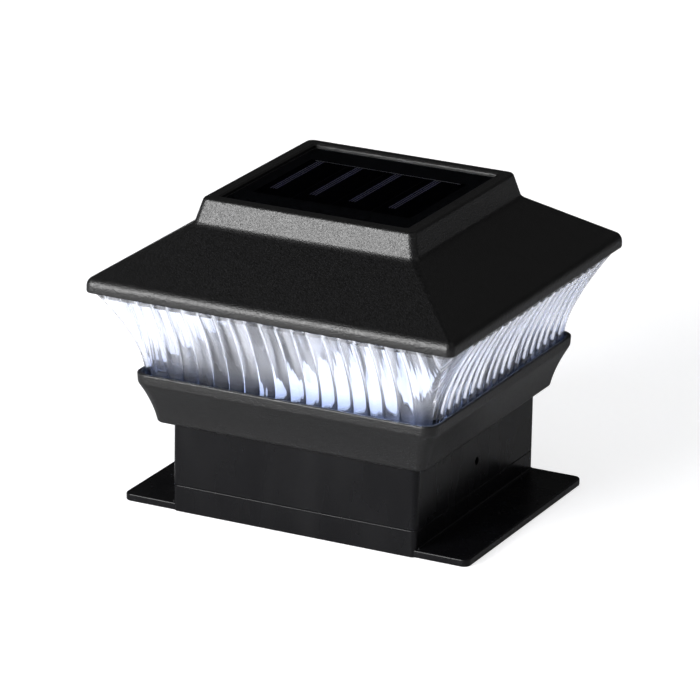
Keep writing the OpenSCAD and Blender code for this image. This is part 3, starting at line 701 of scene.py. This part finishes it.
def makeSleeve():
    size = sleeveValues
    low, high = boxMm("sleeve")
    half, bottom, top = high.x, low.z, high.z
    edge = size["edge"]
    inner = half - size["wall"]
    centre = half - size["corner"]
    shelfLow = top - size["shelf"]
    stations = [(size["window"], size["windowCorner"], top), (half - edge, size["corner"] - edge, top)]
    stations += aroundCentre(arcPoints(half - edge, top - edge, edge, 60, 0, steps=2), centre)
    stations += aroundCentre(arcPoints(half - edge, bottom + edge, edge, 0, -90, steps=3), centre)
    corner = size["innerCorner"]
    stations += [(inner + size["mouthBreak"], corner + size["mouthTurn"], bottom),
                 (inner, corner, bottom + size["mouthBreak"]), (inner, corner, shelfLow),
                 (size["window"], size["windowCorner"], shelfLow)]
    bm = bmesh.new()
    carryRound(bm, stations, steps=6, ends="joined")
    sleeve = makeObject(bm, "postSleeve")
    for side in (-1, 1):
        tool = bmesh.new()
        middle = Matrix.Translation((side * half, 0, size["holeZ"]))
        across = Matrix.Rotation(math.radians(90), 4, "Y")
        addRod(tool, size["holeRadius"], 4 * size["wall"], middle @ across, sides=32)
        combine(sleeve, makeObject(tool, "holeTool"), how="DIFFERENCE")
    finishPiece(sleeve, "lamp_body", "satin_abs", "sleeve")


# the winged base adapter

baseValues = {
    "corner": 2.5, "edge": 0.35, "wallHalf": 53.5, "partZ": 11.0,
    "spigot": 50.8, "spigotWall": 2.0, "spigotCorner": 1.0, "spigotBreak": 0.5, "spigotTurn": 0.2,
    "window": 45.0, "windowCorner": 2.0, "wingInset": 0.5, "wingCorner": 3.0, "wingThick": 3.2,
    "wingEdge": 0.6, "bead": 0.7, "dimple": 1.5, "dimpleRise": 1.0,
    "apart": 0.05,  # keeps faces of joined solids out of one plane, where a boolean would leave slivers
}


def makeBase():
    size = baseValues
    low, high = boxMm("base_adapter")
    edge = size["edge"]
    half = size["wallHalf"]
    centre = half - size["corner"]
    # the wall and the spigot that stands up into the sleeve
    spigot = size["spigot"]
    inner = spigot - size["spigotWall"]
    turned = size["spigotCorner"] - size["spigotTurn"]
    stations = [(inner, turned, low.z), (half - edge, size["corner"] - edge, low.z)]
    stations += aroundCentre(arcPoints(half - edge, low.z + edge, edge, -60, 0, steps=2), centre)
    stations += aroundCentre(arcPoints(half - edge, size["partZ"] - edge, edge, 0, 90, steps=3), centre)
    stations += [(spigot, size["spigotCorner"], size["partZ"]),
                 (spigot, size["spigotCorner"], high.z - size["spigotBreak"]),
                 (spigot - size["spigotBreak"], turned, high.z), (inner, turned, high.z)]
    bm = bmesh.new()
    carryRound(bm, stations, steps=6, ends="joined")
    base = makeObject(bm, "baseAdapter")
    # the plate that makes both wings, with rounded edges
    plate = bmesh.new()
    depth = high.y - size["wingInset"]
    corner = size["wingCorner"]
    wingEdge = size["wingEdge"]
    under = low.z + size["apart"]
    top = size["wingThick"]
    centre = depth - corner
    across = [(size["window"], size["windowCorner"], under), (depth - wingEdge, corner - wingEdge, under)]
    across += aroundCentre(arcPoints(depth - wingEdge, under + wingEdge, wingEdge, -60, 0, steps=3), centre)
    across += aroundCentre(arcPoints(depth - wingEdge, top - wingEdge, wingEdge, 0, 90, steps=4), centre)
    across += [(size["window"], size["windowCorner"], top)]
    carryRound(plate, across, steps=6, ends="joined")
    # the square plate's outer edges are pulled out sideways to the wings' ends; its window stays
    betweenEdges = (size["window"] + centre) / 2
    for side in (-1, 1):
        far = [v for v in plate.verts if v.co.x * side > betweenEdges]
        bmesh.ops.translate(plate, verts=far, vec=(side * (high.x - depth), 0, 0))
    tools = [makeObject(plate, "plateTool")]
    # a bead along the foot of the wall on each wing
    for side in (-1, 1):
        bead = bmesh.new()
        foot = Matrix.Translation((side * (half - size["apart"]), 0, top - size["apart"]))
        lying = Matrix.Rotation(math.radians(90), 4, "X")
        addRod(bead, size["bead"], 2 * depth - corner, foot @ lying, sides=20)
        tools.append(makeObject(bead, "beadTool"))
    combine(base, *tools, how="UNION")
    # a dimple in the middle of each wing
    for side in (-1, 1):
        dimple = bmesh.new()
        middle = Matrix.Translation((side * (high.x + half) / 2, 0, top + size["dimpleRise"]))
        bmesh.ops.create_uvsphere(dimple, u_segments=20, v_segments=10, radius=size["dimple"], matrix=middle)
        combine(base, makeObject(dimple, "dimpleTool"), how="DIFFERENCE")
    finishPiece(base, "base", "satin_abs", "base_adapter")


# the panel in the roof's recess: cover, four cells, busbars and the ribbon that joins them

panelValues = {
    "coverSunk": 0.05, "coverCorner": 1.0, "coverEdge": 0.3, "coverFoot": 0.1,
    "cells": 4, "cellWidth": 16.7, "cellPitch": 17.2, "cellBevel": 0.08,
    "barOffset": -3.4, "barWidth": 3.4, "barLow": -17.0, "barHigh": 23.2,
    "barZ": (-0.05, 0.03),  # from below the top of the cells to above it, as are the next two
    "lineZ": (-0.02, 0.05), "ribbonZ": (-0.02, 0.07),
    "lineWidth": 0.3, "lineGap": 1.15, "lineFoot": 0.3, "lineHead": 0.5,
    "ribbonY": 24.2, "ribbonWidth": 0.6, "ribbonHalf": 32.0,
}


def makePanel():
    size = panelValues
    low, high = boxMm("panel_glass")
    cellLow, cellHigh = boxMm("solar_cells")
    half = high.x
    floor = low.z - size["coverSunk"]  # cast onto the board and round the cells, so no air lies between them
    edge, step = size["coverEdge"], size["coverFoot"]
    profile = [(half - step, floor), (half, floor + step)]
    profile += arcPoints(half - edge, high.z - edge, edge, 0, 90, steps=4)
    bm = bmesh.new()
    carryRound(bm, aroundCentre(profile, half - size["coverCorner"]), steps=5)
    finishPiece(makeObject(bm, "panelCover"), "head", "panel_cover", "panel_glass")
    # the cells, each with a band and three tinned lines on it, and the ribbon that joins the lines
    barLow, barHigh, lineLow, lineHigh, ribbonLow, ribbonHigh = (
        cellHigh.z + rise for rise in (*size["barZ"], *size["lineZ"], *size["ribbonZ"]))
    cells = bmesh.new()
    bars = bmesh.new()
    lines = bmesh.new()
    for i in range(size["cells"]):
        x = (i - (size["cells"] - 1) / 2) * size["cellPitch"]
        reach = size["cellWidth"] / 2
        addBlock(cells, (x - reach, cellLow.y, cellLow.z), (x + reach, cellHigh.y, cellHigh.z),
                 edge=size["cellBevel"])
        x += size["barOffset"]
        reach = size["barWidth"] / 2
        addBlock(bars, (x - reach, size["barLow"], barLow), (x + reach, size["barHigh"], barHigh))
        reach = size["lineWidth"] / 2
        for middle in (x - size["lineGap"], x, x + size["lineGap"]):
            addBlock(lines, (middle - reach, size["barLow"] - size["lineFoot"], lineLow),
                     (middle + reach, size["barHigh"] + size["lineHead"], lineHigh))
    reach = size["ribbonWidth"] / 2
    addBlock(lines, (-size["ribbonHalf"], size["ribbonY"] - reach, ribbonLow),
             (size["ribbonHalf"], size["ribbonY"] + reach, ribbonHigh))
    finishPiece(makeObject(cells, "siliconCells"), "head", "solar_cell", "solar_cells")
    finishPiece(makeObject(bars, "cellBusbars"), "head", "solar_cell", material="busbar")
    finishPiece(makeObject(lines, "cellRibbons"), "head", "contact_metal", material="tinned")


# the reflector on the tray floor

reflectorValues = {
    "half": 27.0, "corner": 6.0, "rim": 1.2, "rimBreak": 0.3, "rimTurn": 0.2, "dish": 24.0, "dishCorner": 2.4,
    # from the rim up to the tip: the first step in and up, then the point that the rise leans towards
    "dishStep": (0.4, 0.2), "bend": (9.0, 0.8), "riseSteps": 12,
    "peak": 4.0, "peakCorner": 1.2, "tipRound": 0.5, "tipCorner": 1.0,
}


def makeReflector():
    size = reflectorValues
    low, high = boxMm("reflector")
    half, corner, dish = size["half"], size["corner"], size["dish"]
    rimTop = low.z + size["rim"]
    stations = [(half, corner, low.z), (half, corner, rimTop - size["rimBreak"]),
                (half - size["rimBreak"], corner - size["rimTurn"], rimTop),
                (dish, size["dishCorner"], rimTop)]
    inwards, up = size["dishStep"]
    bendAt, bendUp = size["bend"]
    rise = bentLine((dish - inwards, rimTop + up), (bendAt, rimTop + bendUp),
                    (size["peak"], high.z - size["tipRound"]), steps=size["riseSteps"])
    growth = (size["dishCorner"] - size["peakCorner"]) / dish
    stations += [(x, size["peakCorner"] + growth * x, z) for x, z in rise]
    stations += [(size["peak"] - size["tipRound"], size["tipCorner"], high.z)]
    bm = bmesh.new()
    carryRound(bm, stations, steps=5)
    finishPiece(makeObject(bm, "reflectorDish", smoothAngle=40), "lamp_body", "reflector_white", "reflector")


makeRoof()
makeLens()
makeCollar()
makeSleeve()
makeBase()
makePanel()
makeReflector()


# studio: white floor, soft lamps and the camera at the photograph's angle

cameraValues = {"azimuth": 26.53, "elevation": 19.08, "roll": 1.04, "distance": 2.05136, "sensor": 36.0,
                "focalPixels": 5197.93, "imagePixels": 700, "target": (-0.00243, -0.00122, 0.05981),
                "clipStart": 0.1, "clipEnd": 30}


def directionTo(azimuth, elevation):
    # unit vector from the object towards something seen at this azimuth and elevation
    a, e = math.radians(azimuth), math.radians(elevation)
    return Vector((math.sin(a) * math.cos(e), -math.cos(a) * math.cos(e), math.sin(e)))


def makeCamera():
    view = cameraValues
    data = bpy.data.cameras.new("camera")
    data.sensor_width = view["sensor"]
    data.lens = view["focalPixels"] / view["imagePixels"] * view["sensor"]
    data.clip_start = view["clipStart"]
    data.clip_end = view["clipEnd"]
    camera = bpy.data.objects.new("camera", data)
    back = directionTo(view["azimuth"], view["elevation"])
    camera.rotation_mode = "QUATERNION"
    roll = Quaternion((0, 0, 1), math.radians(view["roll"]))
    camera.rotation_quaternion = (-back).to_track_quat("-Z", "Y") @ roll
    camera.location = Vector(view["target"]) + back * view["distance"]
    bpy.context.scene.collection.objects.link(camera)
    bpy.context.scene.camera = camera


lampValues = {
    # name: azimuth, elevation, distance, width, height, watts
    "keyLamp": (-23, 14, 1.7, 0.92, 0.82, 57),
    "fillLamp": (100, 38, 2.4, 1.2, 1.2, 4),
}
lampTarget = (0, 0, 0.06)


def makeLamps():
    for name, (azimuth, elevation, distance, width, height, watts) in lampValues.items():
        data = bpy.data.lights.new(name, "AREA")
        data.shape = "RECTANGLE"
        data.size = width
        data.size_y = height
        data.energy = watts
        lamp = bpy.data.objects.new(name, data)
        away = directionTo(azimuth, elevation)
        lamp.location = Vector(lampTarget) + away * distance
        lamp.rotation_mode = "QUATERNION"
        lamp.rotation_quaternion = (-away).to_track_quat("-Z", "Y")
        lamp.visible_camera = False
        bpy.context.scene.collection.objects.link(lamp)


floorValues = {"halfSize": 6.0, "colour": "#c6c6c8", "nearGlow": 0.7, "farGlow": 1.0, "glossyGlow": 0.05,
               "nearEnd": 0.25, "farStart": 2.0}


def makeFloor():
    look = floorValues
    bm = bmesh.new()
    bmesh.ops.create_grid(bm, x_segments=4, y_segments=4, size=look["halfSize"])
    mesh = bpy.data.meshes.new("studioFloor")
    bm.to_mesh(mesh)
    bm.free()
    floor = bpy.data.objects.new("studioFloor", mesh)
    bpy.context.scene.collection.objects.link(floor)
    material, tree, shader, place = startMaterial("Matt white paper", look["colour"], 0.9)
    path = addNode(tree, "ShaderNodeLightPath")
    seen = addNode(tree, "ShaderNodeMath", operation="MAXIMUM", links={
        0: path.outputs["Is Camera Ray"], 1: path.outputs["Is Transmission Ray"]}).outputs["Value"]
    inShine = addNode(tree, "ShaderNodeMath", {1: look["glossyGlow"]}, {0: path.outputs["Is Glossy Ray"]},
                      operation="MULTIPLY").outputs["Value"]
    away = addNode(tree, "ShaderNodeVectorMath", operation="LENGTH", links={0: place}).outputs["Value"]
    # the lamps light the floor near the object, so it glows less there than far away
    paper = addNode(tree, "ShaderNodeMapRange",
                    {"From Min": look["nearEnd"], "From Max": look["farStart"],
                     "To Min": look["nearGlow"], "To Max": look["farGlow"]}, {"Value": away})
    glow = addNode(tree, "ShaderNodeMath", operation="MULTIPLY_ADD", links={
        0: seen, 1: paper.outputs["Result"], 2: inShine})
    shader.inputs["Emission Color"].default_value = linearColour("#ffffff")
    tree.links.new(glow.outputs["Value"], shader.inputs["Emission Strength"])
    mesh.materials.append(material)


worldValues = {
    "fill": 0.34, "backdrop": 1.0,
    # what shiny faces see: a dim band round the walls and a dim panel high on the left, by height and by x
    "bandGlow": 0.18, "bandRise": (0.38, 0.5), "bandFall": (0.62, 0.78),
    "panelGlow": 0.04, "panelRise": (0.6, 0.75), "panelFade": (-0.45, -0.15),
}


def makeWorld():
    # white backdrop to the camera and through clear plastic; in reflections a dark room with two dim lights
    look = worldValues
    world = bpy.data.worlds.new("studio")
    world.use_nodes = True
    tree = world.node_tree
    tree.nodes.clear()
    path = addNode(tree, "ShaderNodeLightPath")
    white = addNode(tree, "ShaderNodeMath", operation="MAXIMUM", links={
        0: path.outputs["Is Camera Ray"], 1: path.outputs["Is Transmission Ray"]}).outputs["Value"]
    toward = addNode(tree, "ShaderNodeTexCoord").outputs["Generated"]
    part = addNode(tree, "ShaderNodeSeparateXYZ", links={"Vector": toward}).outputs

    def fade(name, axis, start, end):
        low, high = look[name]
        return addNode(tree, "ShaderNodeMapRange",
                       {"From Min": low, "From Max": high, "To Min": start, "To Max": end},
                       {"Value": part[axis]}).outputs["Result"]

    band = addNode(tree, "ShaderNodeMath", operation="MULTIPLY", links={
        0: fade("bandRise", "Z", 0, look["bandGlow"]), 1: fade("bandFall", "Z", 1, 0)}).outputs["Value"]
    panel = addNode(tree, "ShaderNodeMath", operation="MULTIPLY", links={
        0: fade("panelRise", "Z", 0, look["panelGlow"]), 1: fade("panelFade", "X", 1, 0)}).outputs["Value"]
    inShine = addNode(tree, "ShaderNodeMath", operation="ADD", links={0: band, 1: panel}).outputs["Value"]
    glossy = path.outputs["Is Glossy Ray"]
    room = addNode(tree, "ShaderNodeMix", {"A": look["fill"]}, {"Factor": glossy, "B": inShine},
                   data_type="FLOAT").outputs["Result"]
    strength = addNode(tree, "ShaderNodeMix", {"B": look["backdrop"]}, {"Factor": white, "A": room},
                       data_type="FLOAT")
    back = addNode(tree, "ShaderNodeBackground", {"Color": linearColour("#ffffff")},
                   {"Strength": strength.outputs["Result"]})
    addNode(tree, "ShaderNodeOutputWorld", links={"Surface": back.outputs["Background"]})
    bpy.context.scene.world = world


makeCamera()
makeLamps()
makeFloor()
makeWorld()
bpy.context.scene.view_settings.view_transform = "Standard"
print("studio ready")
